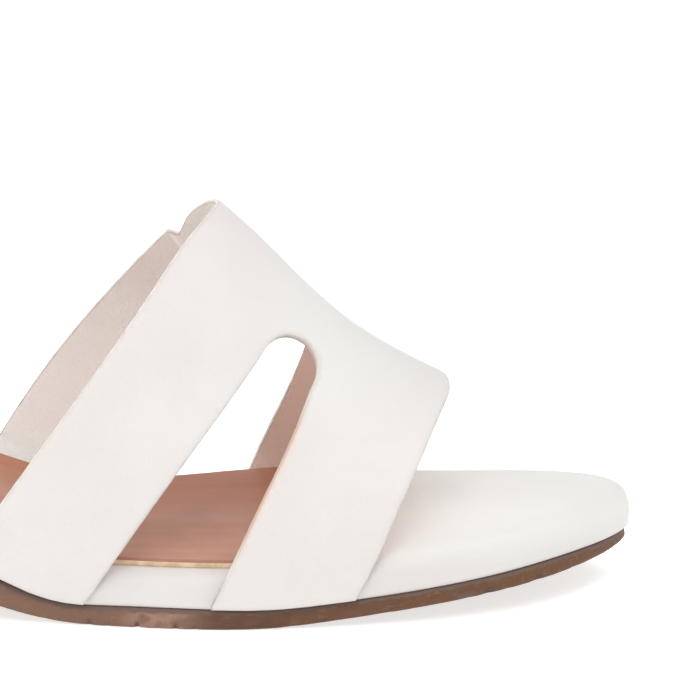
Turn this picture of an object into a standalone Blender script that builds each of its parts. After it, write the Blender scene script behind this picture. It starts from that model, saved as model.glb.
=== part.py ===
"""Right-foot heeled slide sandal with an H-shaped strap upper.

Every sub-part is its own closed object, in metres, with +Z up, +X towards the toe and +Y
towards the inner (medial) side of the foot. The shape functions below work in millimetres,
measured from the back of the heel along the shoe, and are scaled once when a mesh is made.
"""

import math

import bmesh
import bpy
import numpy as np

COLLECTION = "heeled_slide_sandal"
MM = 0.001
WELD = 1e-6
GAP = 0.3                    # clearance kept between neighbouring pieces

# ---- plan of the sole -------------------------------------------------------------------
LENGTH = 238.0               # heel back to toe tip of the outsole, seen from above
ORIGIN = (118.93, -0.31)     # the point of the plan that becomes the model's origin
# One row per section: place along the shoe, half width to the outer side, to the inner side.
PLAN_WIDTHS = (
    (0.0, 28.5, 28.5),
    (40.0, 30.5, 29.6),
    (94.0, 34.0, 26.8),
    (124.0, 37.5, 28.1),
    (152.0, 41.6, 36.3),
    (172.0, 40.3, 40.9),
    (203.0, 38.2, 34.6),
    (238.0, 39.5, 36.0),
)
HEEL_ROUND = (30.0, 2.0, 0.50)        # reach along the shoe, power, closing power
TOE_ROUND_OUTER = (66.0, 2.8, 0.72)
TOE_ROUND_INNER = (68.0, 2.0, 0.61)
TOE_DRIFT = 3.0              # how far the toe tip leans to the inner side
TOE_DRIFT_START = 154.0

# ---- side profile of the outsole's underside ----------------------------------------------
TREAD_BACK = 137.2           # the flat tread lies between these two places
TREAD_FRONT = 160.0
BALL_SKEW = 0.125            # the tread crosses the foot at an angle, inner side forward
SHANK_SLOPE = 0.335
SHANK_EASE = 30.5            # length over which the tread turns into the shank
SEAT_START = 64.0            # the shank starts to ease into the heel seat here
SEAT_EASE = 36.0
SEAT_SLOPE = 0.08
TOE_SLOPE = 0.115
TOE_EASE = 20.0

# ---- thicknesses, measured up from the outsole's underside ----------------------------------
# One row per section: place along the shoe, true thickness of the outsole.
SOLE = (
    (0.0, 4.6),
    (60.0, 5.3),
    (104.0, 5.8),
    (118.0, 4.4),
    (130.0, 4.5),
    (150.0, 4.5),
    (180.0, 3.9),
    (216.0, 3.7),
    (229.0, 3.4),
    (238.0, 2.5),
)
OUTSOLE = 3.6                # the thickness that the side tables below are written for
FOOTBED_BASE = OUTSOLE + GAP
FOOTBED_TOP = 12.3
SOCK_BASE = FOOTBED_TOP + GAP
SOCK_TOP = 14.0
# One row per step up the side: how far it stands out from the plan, height.
OUTSOLE_SIDE = ((-0.5, 0.0), (-0.1, 0.4), (0.0, 1.8), (-0.1, 3.3), (-0.4, OUTSOLE))
FOOTBED_SIDE = (
    (-1.0, FOOTBED_BASE),
    (-0.1, 4.3),
    (0.6, 5.6),
    (0.9, 7.4),
    (0.7, 9.2),
    (0.2, 10.8),
    (-0.8, 11.8),
    (-2.4, FOOTBED_TOP),
)
SOCK_MARGIN = 3.8            # the sock lining stops this far inside the footbed's plan
SOCK_SIDE = ((-SOCK_MARGIN, SOCK_BASE), (-SOCK_MARGIN, SOCK_TOP - 0.3), (-SOCK_MARGIN - 0.4, SOCK_TOP))
SOCK_FRONT = 176.0           # ends out of sight, under the front of the upper
SOCK_FRONT_ROUND = (18.0, 4.0, 0.45)

# ---- heel block and its top piece ---------------------------------------------------------
LIFT = 5.0                   # thickness of the top piece that meets the floor
HEEL_BREAST = 58.0           # front of the block where it meets the outsole
HEEL_BREAST_ROUND = (9.0, 3.0, 0.34)
HEEL_INSET = 1.0
HEEL_TAPER_LONG = 0.07       # share of its length and width that the block loses on the way down
HEEL_TAPER_WIDE = 0.08
HEEL_WAIST = 0.75            # power of the taper: below 1 draws the sides in under the seat
HEEL_MIDDLE = 30.0
HEEL_LEVELS = (0.0, 0.25, 0.5, 0.75, 1.0)

# ---- upper: an H-shaped band arched from one side of the sole to the other ------------------
WALL = 1.6
# Ribs run from the sole up to the ridge over the instep. Each row gives the first and last
# rib's place along the shoe: at the foot on the outer side, on the inner side, at the ridge.
REAR_RIB = (97.7, 101.0, 153.2)
FRONT_RIB = (181.5, 184.2, 200.7)
# One row per place along the ridge: place, height of the outer skin.
RIDGE = (
    (153.2, 80.2),
    (162.0, 72.0),
    (170.4, 63.2),
    (180.1, 54.2),
    (187.1, 49.4),
    (194.0, 45.5),
    (200.7, 42.2),
)
RIDGE_SIDE = 4.0             # the ridge stands this far to the inner side
RIM_SHARE = 0.13             # share of a rib that lies flat against the footbed's side
RIM_TOP = 13.1               # the rim ends this far above the outsole's underside
# One row per share of the way up the rim: how far the skin stands out from the plan.
RIM_BULGE = ((0.0, 2.35), (0.2, 2.85), (0.4, 3.05), (1.0, 2.9))
# One row per share of the way up a rib: how far backwards it bows from its straight lean, for
# the rear rib on the outer side, the rear rib on the inner side, and the front rib.
BOW = (
    (0.00, 0.0, 0.0, 0.0),
    (0.15, 1.7, 2.9, 0.4),
    (0.33, 3.3, 4.9, 1.2),
    (0.50, 4.0, 4.3, 0.9),
    (0.65, 4.1, 3.0, 0.4),
    (0.80, 3.3, 1.7, 0.0),
    (0.90, 1.6, 0.7, -0.6),
    (1.00, 0.0, 0.0, 0.0),
)
# The slot in each side. One row per share of the way up the ribs: the slot's rear edge and
# front edge as shares of the way from the rear rib to the front rib, outer side, inner side.
SLOT = (
    (0.00, 0.320, 0.636, 0.335, 0.657),
    (0.15, 0.326, 0.618, 0.340, 0.643),
    (0.35, 0.340, 0.597, 0.350, 0.619),
    (0.50, 0.357, 0.580, 0.361, 0.600),
    (0.66, 0.374, 0.558, 0.374, 0.558),
)
SLOT_SHOULDER = 0.66
SLOT_CROWN = 0.785
SLOT_CROWN_POWER = 0.8
# Rows of faces up the legs, above the slot's shoulder, and columns across the three fields.
LEG_ROWS = (0.0, 0.026, 0.052, 0.09, 0.13, 0.19, 0.25, 0.32, 0.39, 0.46, 0.53, 0.60, 0.66)
PLATE_ROWS = 9
REAR_COLUMNS = 8
SLOT_COLUMNS = 10
FRONT_COLUMNS = 8

STATIONS = 56
CROSS_POINTS = 5

# Colour, roughness of each material.
WHITE_LEATHER = ((0.87, 0.85, 0.83), 0.45)
TAN_LEATHER = ((0.45, 0.24, 0.17), 0.55)
BROWN_RUBBER = ((0.20, 0.09, 0.045), 0.60)
DARK_RUBBER = ((0.12, 0.055, 0.03), 0.65)

OUTER, INNER = -1, 1


def smooth_curve(rows, column):
    """Return a natural cubic curve through one column of a table whose first column is the place."""
    places = np.array([row[0] for row in rows], float)
    values = np.array([row[column] for row in rows], float)
    count = len(places)
    step = np.diff(places)
    matrix = np.eye(count)
    right = np.zeros(count)
    for i in range(1, count - 1):
        matrix[i, i - 1:i + 2] = (step[i - 1], 2.0 * (step[i - 1] + step[i]), step[i])
        right[i] = 6.0 * ((values[i + 1] - values[i]) / step[i] - (values[i] - values[i - 1]) / step[i - 1])
    bend = np.linalg.solve(matrix, right)

    def at(place):
        place = np.clip(place, places[0], places[-1])
        i = np.clip(np.searchsorted(places, place, side="right") - 1, 0, count - 2)
        b = (place - places[i]) / step[i]
        a = 1.0 - b
        cubic = (a ** 3 - a) * bend[i] + (b ** 3 - b) * bend[i + 1]
        return a * values[i] + b * values[i + 1] + cubic * step[i] ** 2 / 6.0

    return at


PLAN = {OUTER: smooth_curve(PLAN_WIDTHS, 1), INNER: smooth_curve(PLAN_WIDTHS, 2)}
TOE_ROUND = {OUTER: TOE_ROUND_OUTER, INNER: TOE_ROUND_INNER}
RIDGE_HEIGHT = smooth_curve(RIDGE, 1)
SOLE_THICKNESS = smooth_curve(SOLE, 1)
REAR_BOW = {OUTER: smooth_curve(BOW, 1), INNER: smooth_curve(BOW, 2)}
FRONT_BOW = smooth_curve(BOW, 3)


def closing(distance, rounding):
    """Return the share of full width left at a distance from a rounded end."""
    reach, power, closing_power = rounding
    u = np.clip((reach - distance) / reach, 0.0, 1.0)
    return (1.0 - u ** power) ** closing_power


def centre_line(x):
    """Return the sideways place of the sole's centre line."""
    return TOE_DRIFT * np.clip((x - TOE_DRIFT_START) / (LENGTH - TOE_DRIFT_START), 0.0, 1.0) ** 2


def plan_edge(x, side):
    """Return the sideways place of the sole's edge at places along the shoe."""
    half = PLAN[side](x) * closing(LENGTH - x, TOE_ROUND[side]) * closing(x, HEEL_ROUND)
    return centre_line(x) + side * half


def eased_ramp(u):
    """Return a ramp of slope 1 that starts softly at 0 and is straight from 1 on."""
    soft = np.clip(u, 0.0, 1.0)
    return np.where(u < 1.0, soft ** 3 - soft ** 4 / 2.0, u - 0.5)


def underside(x, y):
    """Return the height of the outsole's underside: flat tread, rising shank, level seat, toe spring."""
    s = x - BALL_SKEW * y
    shank = SHANK_SLOPE * SHANK_EASE * eased_ramp((TREAD_BACK - s) / SHANK_EASE)
    seat = (SHANK_SLOPE - SEAT_SLOPE) * SEAT_EASE * eased_ramp((SEAT_START - s) / SEAT_EASE)
    toe = TOE_SLOPE * TOE_EASE * eased_ramp((s - TREAD_FRONT) / TOE_EASE)
    return shank - seat + toe


def underside_slope(x, y):
    """Return the underside's slope along the shoe."""
    reach = 0.05
    return (underside(x + reach, y) - underside(x - reach, y)) / (2.0 * reach)


def true_height(x, height):
    """Return a height of the side tables as it truly is at places along the shoe.

    The outsole's heights are scaled to its true thickness there, and the footbed's fill the way
    from the gap above it to the footbed's top; higher ones stay.
    """
    thickness = SOLE_THICKNESS(x)
    if height <= OUTSOLE:
        return height * thickness / OUTSOLE
    if height >= FOOTBED_TOP:
        return height
    base = thickness + GAP
    return base + (FOOTBED_TOP - base) * (height - FOOTBED_BASE) / (FOOTBED_TOP - FOOTBED_BASE)


def above_sole(x, y, height):
    """Return points at a height of the side tables above the underside, square to it in side view."""
    rise = true_height(x, height)
    slope = underside_slope(x, y)
    scale = 1.0 / np.sqrt(1.0 + slope ** 2)
    return np.stack([x - slope * scale * rise, y + 0.0 * x, underside(x, y) + scale * rise], axis=-1)


def edge_stations(front, count):
    """Return places along the shoe, closer together at both ends."""
    return front * (1.0 - np.cos(np.linspace(0.0, math.pi, count))) / 2.0


def offset_edges(x, edges, out):
    """Return both edges moved out by a distance, square to the plan; the ends stay on the centre line."""
    moved = {}
    for side in (OUTER, INNER):
        y = edges[side]
        along = np.gradient(x)
        across = side * np.gradient(y)
        along[0] = along[-1] = 0.0
        across[0], across[-1] = 1.0, -1.0
        size = np.hypot(along, across)
        moved[side] = (x - across / size * out, y + side * along / size * out)
    return moved


def fill_across(outer, inner):
    """Return points between an outer and an inner edge point, without the two ends."""
    share = np.linspace(0.0, 1.0, CROSS_POINTS + 2)[1:-1]
    return outer[..., None] * (1.0 - share) + inner[..., None] * share


def layer_rings(x, edges, side_rows):
    """Return one closed ring of points per station for a layer that follows the sole.

    Each ring runs up the outer side, across the top, down the inner side and back underneath.
    """
    outlines = [(offset_edges(x, edges, out), height) for out, height in side_rows]
    outer = [above_sole(*moved[OUTER], height) for moved, height in outlines]
    inner = [above_sole(*moved[INNER], height) for moved, height in outlines]

    def across(moved, height):
        wide_x = fill_across(moved[OUTER][0], moved[INNER][0])
        wide_y = fill_across(moved[OUTER][1], moved[INNER][1])
        return [above_sole(wide_x[:, i], wide_y[:, i], height) for i in range(CROSS_POINTS)]

    top = across(*outlines[-1])
    bottom = across(*outlines[0])
    return np.stack(outer + top + inner[::-1] + bottom[::-1], axis=1)


def loft(name, rings, material):
    """Join a row of rings into one closed body whose two ends close to a line."""
    stations, points, _ = rings.shape
    index = np.arange(stations * points).reshape(stations, points)
    ahead = np.roll(index, -1, axis=1)
    faces = np.stack([index[:-1], ahead[:-1], ahead[1:], index[1:]], axis=-1).reshape(-1, 4)
    return add_object(name, rings.reshape(-1, 3), faces, material)


def add_object(name, points, faces, material):
    """Make an object from points in millimetres: welded, faces outward, smooth with sharp edges kept."""
    shift = np.array([ORIGIN[0], ORIGIN[1], 0.0])
    mesh = bpy.data.meshes.new(name)
    mesh.from_pydata(((points - shift) * MM).tolist(), [], faces.tolist())
    work = bmesh.new()
    work.from_mesh(mesh)
    bmesh.ops.remove_doubles(work, verts=work.verts, dist=WELD)
    bmesh.ops.dissolve_degenerate(work, edges=work.edges, dist=WELD)
    bmesh.ops.recalc_face_normals(work, faces=work.faces)
    work.to_mesh(mesh)
    work.free()
    mesh.shade_smooth()
    mesh.set_sharp_from_angle(angle=math.radians(40.0))
    mesh.materials.append(material)
    item = bpy.data.objects.new(name, mesh)
    bpy.data.collections[COLLECTION].objects.link(item)
    return item


def make_material(name, finish):
    """Return a Principled material with one colour and roughness."""
    colour, roughness = finish
    material = bpy.data.materials.new(name)
    material.use_nodes = True
    shader = material.node_tree.nodes["Principled BSDF"]
    shader.inputs["Base Color"].default_value = (*colour, 1.0)
    shader.inputs["Roughness"].default_value = roughness
    shader.inputs["Metallic"].default_value = 0.0
    return material


def sole_edges(x):
    """Return the sole's plan edges at the stations."""
    return {side: plan_edge(x, side) for side in (OUTER, INNER)}


def make_outsole(material):
    """The thin tread layer under the whole length."""
    x = edge_stations(LENGTH, STATIONS)
    return loft("outsole", layer_rings(x, sole_edges(x), OUTSOLE_SIDE), material)


def make_footbed(material):
    """The leather-wrapped footbed, bulging at its side and rounded into its top."""
    x = edge_stations(LENGTH, STATIONS)
    return loft("footbed", layer_rings(x, sole_edges(x), FOOTBED_SIDE), material)


def make_sock(material):
    """The sock lining: inside the footbed's edge, and closed off early at its front."""
    x = edge_stations(SOCK_FRONT, STATIONS)
    width = closing(SOCK_FRONT - x, SOCK_FRONT_ROUND)
    edges = {side: centre_line(x) + (plan_edge(x, side) - centre_line(x)) * width for side in (OUTER, INNER)}
    return loft("sock_lining", layer_rings(x, edges, SOCK_SIDE), material)


def heel_plan(x, edges, level):
    """Return both edges of the heel block at a level, 0 at the outsole and 1 at the top piece."""
    shrink = level ** HEEL_WAIST
    moved = offset_edges(x, edges, -HEEL_INSET)
    long = 1.0 - HEEL_TAPER_LONG * shrink
    wide = 1.0 - HEEL_TAPER_WIDE * shrink
    return {side: (HEEL_MIDDLE + (px - HEEL_MIDDLE) * long, py * wide) for side, (px, py) in moved.items()}


def heel_edges():
    """Return the stations and edges of the heel block's plan where it meets the outsole."""
    x = edge_stations(HEEL_BREAST, STATIONS // 2)
    width = closing(HEEL_BREAST - x, HEEL_BREAST_ROUND)
    return x, {side: plan_edge(x, side) * width for side in (OUTER, INNER)}


def heel_column(x, y, x_top, y_top, level):
    """Return points of the heel block at a level of the straight line down from the outsole."""
    top = underside(x_top, y_top) - GAP
    foot = LIFT + GAP
    return np.stack([x, y, top + (foot - top) * level], axis=-1)


def make_heel(material):
    """The covered heel block: its top follows the outsole, its foot is level."""
    x, edges = heel_edges()
    plans = [heel_plan(x, edges, level) for level in HEEL_LEVELS]
    seat = plans[0]
    sides = {}
    for side in (OUTER, INNER):
        sides[side] = [
            heel_column(*plan[side], *seat[side], level) for plan, level in zip(plans, HEEL_LEVELS)
        ]

    def across(plan, level):
        columns = [fill_across(plan[OUTER][i], plan[INNER][i]) for i in (0, 1)]
        tops = [fill_across(seat[OUTER][i], seat[INNER][i]) for i in (0, 1)]
        return [
            heel_column(columns[0][:, i], columns[1][:, i], tops[0][:, i], tops[1][:, i], level)
            for i in range(CROSS_POINTS)
        ]

    ring = sides[OUTER][::-1] + across(plans[0], 0.0) + sides[INNER] + across(plans[-1], 1.0)[::-1]
    return loft("heel_block", np.stack(ring, axis=1), material)


def make_lift(material):
    """The hard top piece that the heel stands on."""
    x, edges = heel_edges()
    plan = heel_plan(x, edges, 1.0)

    def at(side, height):
        return np.stack([*plan[side], np.full_like(x, height)], axis=-1)

    ring = [at(OUTER, 0.0), at(OUTER, LIFT), at(INNER, LIFT), at(INNER, 0.0)]
    return loft("heel_top_piece", np.stack(ring, axis=1), material)


def rib_point(v, t, side):
    """Return points of the upper's outer skin.

    v runs from the rear rib (0) to the front rib (1); t runs from the sole (0) up to the ridge (1).
    Below RIM_SHARE a rib lies against the footbed's side; above it the rib is a quarter ellipse.
    """
    foot_column = 0 if side == OUTER else 1
    foot = REAR_RIB[foot_column] + (FRONT_RIB[foot_column] - REAR_RIB[foot_column]) * v
    crest = REAR_RIB[2] + (FRONT_RIB[2] - REAR_RIB[2]) * v
    base = underside(foot, plan_edge(foot, side))
    low = base + SOLE_THICKNESS(foot) + 2.0 * GAP
    high = RIDGE_HEIGHT(crest)
    rim = np.clip(t / RIM_SHARE, 0.0, 1.0)
    angle = np.clip((t - RIM_SHARE) / (1.0 - RIM_SHARE), 0.0, 1.0) * math.pi / 2.0
    z = low + (base + RIM_TOP - low) * rim + (high - base - RIM_TOP) * np.sin(angle)
    lean = (z - base - OUTSOLE) / (high - base - OUTSOLE)
    x = foot + (crest - foot) * lean - REAR_BOW[side](t) * (1.0 - v) - FRONT_BOW(t) * v
    out = np.interp(rim, [row[0] for row in RIM_BULGE], [row[1] for row in RIM_BULGE])
    edge = plan_edge(x, side)
    slope = underside_slope(x, edge)
    height = np.clip(z - underside(x, edge), 0.0, FOOTBED_TOP)
    edge = plan_edge(x + slope * height / (1.0 + slope ** 2), side) + side * out
    y = RIDGE_SIDE + (edge - RIDGE_SIDE) * np.cos(angle)
    return np.stack([x, y, z], axis=-1)


def upper_grid(side):
    """Return the v and t of every grid point of one half of the upper, row by row from the sole.

    The middle columns between the slot's edges only exist above the slot: their lowest row
    follows its rounded crown.
    """
    columns = (1, 2) if side == OUTER else (3, 4)
    rear_edge, front_edge = (smooth_curve(SLOT, column) for column in columns)
    rear = np.linspace(0.0, 1.0, REAR_COLUMNS + 1)
    front = np.linspace(0.0, 1.0, FRONT_COLUMNS + 1)
    turn = np.linspace(0.0, math.pi, SLOT_COLUMNS + 1)[1:-1]
    left, right = rear_edge(SLOT_SHOULDER), front_edge(SLOT_SHOULDER)
    crown_v = (left + right) / 2.0 - (right - left) / 2.0 * np.cos(turn)
    crown_t = SLOT_SHOULDER + (SLOT_CROWN - SLOT_SHOULDER) * np.sin(turn) ** SLOT_CROWN_POWER
    legs = []
    for t in LEG_ROWS:
        v = np.concatenate([rear * rear_edge(t), front_edge(t) + front * (1.0 - front_edge(t))])
        legs.append((v, np.full_like(v, t)))
    plate = []
    for share in np.linspace(0.0, 1.0, PLATE_ROWS + 1):
        v = np.concatenate([rear * left, crown_v, right + front * (1.0 - right)])
        start = np.concatenate([np.full_like(rear, SLOT_SHOULDER), crown_t, np.full_like(front, SLOT_SHOULDER)])
        plate.append((v, start + (1.0 - start) * share))
    return legs, plate


def grid_faces(index):
    """Return the quads of a grid of point numbers."""
    corners = [index[:-1, :-1], index[:-1, 1:], index[1:, 1:], index[1:, :-1]]
    return np.stack(corners, axis=-1).reshape(-1, 4)


def make_upper(material):
    """The H-shaped band: two legs and a slot on each side, joined by a plate over the instep."""
    points, faces = [], []
    total = 0
    for side in (OUTER, INNER):
        legs, plate = upper_grid(side)
        for rows, blocks in ((legs, (REAR_COLUMNS + 1,)), (plate, ())):
            grid = np.stack([rib_point(v, t, side) for v, t in rows])
            index = total + np.arange(grid.shape[0] * grid.shape[1]).reshape(grid.shape[:2])
            total += index.size
            points.append(grid.reshape(-1, 3))
            for field in np.split(index, blocks, axis=1):
                faces.append(grid_faces(field))
    skin = add_object("upper", np.concatenate(points), np.concatenate(faces), material)
    wall = skin.modifiers.new("wall", "SOLIDIFY")
    wall.thickness = WALL * MM
    wall.offset = -1.0
    wall.use_even_offset = True
    return skin


def clear_scene():
    """Remove every object and make the collection that holds the sandal."""
    for item in list(bpy.data.objects):
        bpy.data.objects.remove(item)
    collection = bpy.data.collections.new(COLLECTION)
    bpy.context.scene.collection.children.link(collection)


def main():
    """Build the sandal."""
    clear_scene()
    white = make_material("white_leather", WHITE_LEATHER)
    heel_white = make_material("heel_cover", WHITE_LEATHER)
    upper_white = make_material("strap_leather", WHITE_LEATHER)
    tan = make_material("tan_leather", TAN_LEATHER)
    brown = make_material("brown_rubber", BROWN_RUBBER)
    dark = make_material("dark_rubber", DARK_RUBBER)
    make_outsole(brown)
    make_footbed(white)
    make_sock(tan)
    make_heel(heel_white)
    make_lift(dark)
    make_upper(upper_white)


main()
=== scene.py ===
"""Dresses the right-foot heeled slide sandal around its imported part.

Every piece is worked out again at full detail: the two-layer strap upper, the wrapped footbed,
the sock lining, the outsole and the covered heel with its top piece. Shapes are worked out in
millimetres from the back of the heel, with +X towards the toe, +Y towards the inner side of
the foot and +Z up, and are moved into the part's own frame, in metres, when a mesh is made.
"""

import logging
import math
from dataclasses import dataclass, field
from enum import Enum
from typing import Callable

import bmesh
import bpy
import numpy as np
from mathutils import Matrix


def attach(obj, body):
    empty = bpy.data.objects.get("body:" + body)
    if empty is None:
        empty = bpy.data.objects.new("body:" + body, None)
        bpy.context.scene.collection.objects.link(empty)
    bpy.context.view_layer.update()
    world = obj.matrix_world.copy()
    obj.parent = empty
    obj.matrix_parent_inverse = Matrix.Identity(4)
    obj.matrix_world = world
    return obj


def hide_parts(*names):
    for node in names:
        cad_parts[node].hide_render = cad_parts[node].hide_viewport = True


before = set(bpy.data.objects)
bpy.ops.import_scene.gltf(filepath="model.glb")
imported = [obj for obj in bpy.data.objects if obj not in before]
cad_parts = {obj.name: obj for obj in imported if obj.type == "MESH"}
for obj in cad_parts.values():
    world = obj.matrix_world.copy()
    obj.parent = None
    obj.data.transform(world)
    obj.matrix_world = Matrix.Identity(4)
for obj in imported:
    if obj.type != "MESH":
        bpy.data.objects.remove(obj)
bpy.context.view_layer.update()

LOG = logging.getLogger("sandal")
MM = 0.001
BODY = "root"
WELD = 2e-7  # metres within which two points are one
Array = np.ndarray
Table = tuple[tuple[float, ...], ...]
Colour = tuple[float, ...]
Triple = tuple[float, float, float]
Socket = bpy.types.NodeSocket
Sockets = bpy.types.bpy_prop_collection
Look = tuple[Socket, Socket | float, Socket]  # a finish's colour, roughness and relief
Pair = tuple[float, float]
Material = bpy.types.Material


class Side(Enum):
    """The two sides of the foot; the value is the sign of Y."""

    OUTER = -1
    INNER = 1


class Attribute(Enum):
    """Values that a mesh carries for its materials."""

    EDGE = "edge_distance"  # millimetres to the nearest cut edge
    WARM = "edge_warmth"  # 1 where the cut edge takes a painted warm cream light
    FACING = "above_lining"  # millimetres past the lining's upper end, below 0 on the lining
    DROP = "drop"  # millimetres below the top of the outsole's side
    CHIP = "chip"  # how deep the outsole's side is chipped, in millimetres


# ---- mathematics


class NaturalCurve:
    """A natural cubic curve through one column of a table whose first column is the place."""

    def __init__(self, rows: Table | Array, column: int = 1) -> None:
        """Solve for the bend at each row, with none at the two ends.

        Args:
            rows: the table, in rising order of place.
            column: which column the curve goes through.
        """
        self.places, self.values = np.array(rows, float)[:, [0, column]].T
        self.step = step = np.diff(self.places)
        inner = np.arange(1, len(step))
        matrix = np.eye(len(self.places))
        matrix[inner, inner - 1] = step[:-1]
        matrix[inner, inner] = 2.0 * (step[:-1] + step[1:])
        matrix[inner, inner + 1] = step[1:]
        right = np.zeros(len(self.places))
        right[1:-1] = 6.0 * np.diff(np.diff(self.values) / step)
        self.bend = np.linalg.solve(matrix, right)

    def __call__(self, place: Array) -> Array:
        """Return the curve's value, held at its ends.

        Formula: the straight line between two rows, plus each row's bend times a cubic that is
        nothing at both.

        Args:
            place: where the curve is read.
        """
        place = np.clip(place, self.places[0], self.places[-1])
        i = np.clip(np.searchsorted(self.places, place, side="right") - 1, 0, len(self.step) - 1)
        b = (place - self.places[i]) / self.step[i]
        a = 1.0 - b
        cubic = (a ** 3 - a) * self.bend[i] + (b ** 3 - b) * self.bend[i + 1]
        return a * self.values[i] + b * self.values[i + 1] + cubic * self.step[i] ** 2 / 6.0


def run_along(line: Array) -> Array:
    """Return the length along a line of points up to each of them."""
    return np.concatenate([[0.0], np.cumsum(np.linalg.norm(np.diff(line, axis=0), axis=-1))])


def smooth_profile(rows: Table, count: int) -> Array:
    """Return a smooth line through the points of a profile.

    Formula: both coordinates are natural cubic curves of the length along the rows' polyline.

    Args:
        rows: pairs of out and height.
        count: how many points the line gets.

    Returns:
        The line's points, shape (count, 2).
    """
    table = np.column_stack([run_along(np.array(rows)), rows])
    at = np.linspace(0.0, table[-1, 0], count)
    return np.stack([NaturalCurve(table, 1)(at), NaturalCurve(table, 2)(at)], axis=-1)


def hump(offset: Array, width: float) -> Array:
    """Return a bell of height 1 and the given half width."""
    return np.exp(-((offset / width) ** 2))


def unit(vectors: Array) -> Array:
    """Return vectors scaled to length 1."""
    return vectors / np.maximum(np.linalg.norm(vectors, axis=-1, keepdims=True), 1e-9)


def dot(a: Array, b: Array) -> Array:
    """Return the products of two rows of vectors, one number a row."""
    return np.einsum("ij,ij->i", a, b)


@dataclass(frozen=True)
class Ripple:
    """An uneven wave along a line."""

    size: float  # its longest wavelength, in millimetres
    seed: float  # shifts its sines against each other
    height: float = 1.0

    def along(self, line: Array) -> Array:
        """Return the wave at each point of a line.

        Formula: a weighted mean of four sines of the length along the line, whose wavelengths
        stand in odd ratios to the size.

        Args:
            line: the line's points.

        Returns:
            One number a point, between about -height and height.
        """
        ratios = np.array([1.0, 1.73, 2.61, 4.19])
        shifts = self.seed * np.array([1.0, 2.3, 3.7, 5.9])
        waves = np.sin(2.0 * math.pi * run_along(line)[:, None] * ratios / self.size + shifts)
        return self.height * (waves * np.array([0.4, 0.3, 0.2, 0.1])).sum(axis=-1)


# ---- mesh making


def ring_faces(index: Array) -> Array:
    """Return the quads between closed rings of point numbers, wound to face outwards."""
    ahead = np.roll(index, -1, axis=1)
    return np.stack([index[:-1], ahead[:-1], ahead[1:], index[1:]], axis=-1).reshape(-1, 4)


def sheet_faces(index: Array) -> Array:
    """Return the quads of an open grid of point numbers."""
    corners = [index[:-1, :-1], index[:-1, 1:], index[1:, 1:], index[1:, :-1]]
    return np.stack(corners, axis=-1).reshape(-1, 4)


@dataclass
class Shape:
    """Points in millimetres, quads, and what each point carries for the materials."""

    points: Array
    faces: Array
    values: dict[Attribute, Array] = field(default_factory=dict)
    finish_of_face: Array | None = None


def new_object(name: str, data: bpy.types.ID) -> bpy.types.Object:
    """Return a new object of the scene with the given data."""
    item = bpy.data.objects.new(name, data)
    bpy.context.scene.collection.objects.link(item)
    return item


def make_piece(
    name: str, node: str, shape: Shape, materials: list[Material], stands_for: bool = True
) -> None:
    """Make one closed piece of the sandal and seat it in the frame, unturned at the origin.

    Args:
        name: the piece's name.
        node: the solid that it belongs to.
        shape: its points, faces and values.
        materials: its finishes; shape.finish_of_face chooses among them.
        stands_for: whether it takes the solid's place.
    """
    mesh = bpy.data.meshes.new(name)
    mesh.from_pydata(((shape.points - FORM.origin) * MM).tolist(), [], shape.faces.tolist())
    for attribute, values in shape.values.items():
        layer = mesh.attributes.new(attribute.value, "FLOAT", "POINT")
        layer.data.foreach_set("value", np.ascontiguousarray(values, np.float32).ravel())
    if shape.finish_of_face is not None:
        mesh.polygons.foreach_set("material_index", shape.finish_of_face.astype(np.int32))
    work = bmesh.new()
    work.from_mesh(mesh)
    bmesh.ops.remove_doubles(work, verts=work.verts, dist=WELD)
    bmesh.ops.dissolve_degenerate(work, edges=work.edges, dist=WELD)
    bmesh.ops.recalc_face_normals(work, faces=work.faces)
    work.to_mesh(mesh)
    work.free()
    mesh.shade_smooth()
    for material in materials:
        mesh.materials.append(material)
    piece = new_object(name, mesh)
    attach(piece, BODY)
    if stands_for:
        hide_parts(node)
    LOG.info("%s: %d faces", name, len(mesh.polygons))


# ---- form of the last


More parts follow.
